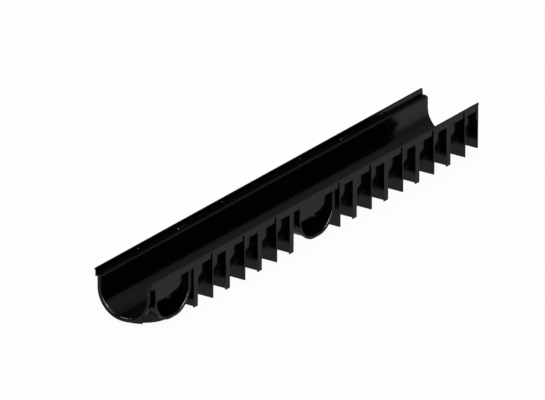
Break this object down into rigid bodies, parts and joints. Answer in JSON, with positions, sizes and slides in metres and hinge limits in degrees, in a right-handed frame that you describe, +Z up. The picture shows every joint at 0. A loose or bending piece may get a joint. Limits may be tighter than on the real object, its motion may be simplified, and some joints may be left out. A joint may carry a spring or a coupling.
{
  "type": "channel drain",
  "caption": "Open drainage channel body with a round-bottomed trough, stepped lips that seat a grate, cross ribs, U-shaped side outlets and a collared end.",
  "frame": {"origin": "middle of the footprint, level with the flat feet of the ribs", "axes": "+X along the channel, from the collar end to the plate end; +Y across it, towards the far lip in the picture; +Z up, out of the open top"},
  "size_m": [1.0042, 0.1238, 0.089],
  "materials": {
    "body_plastic": "smooth moulded black plastic"
  },
  "bodies": {
    "root": {"channel_body": "body_plastic"}
  },
  "joints": []
}
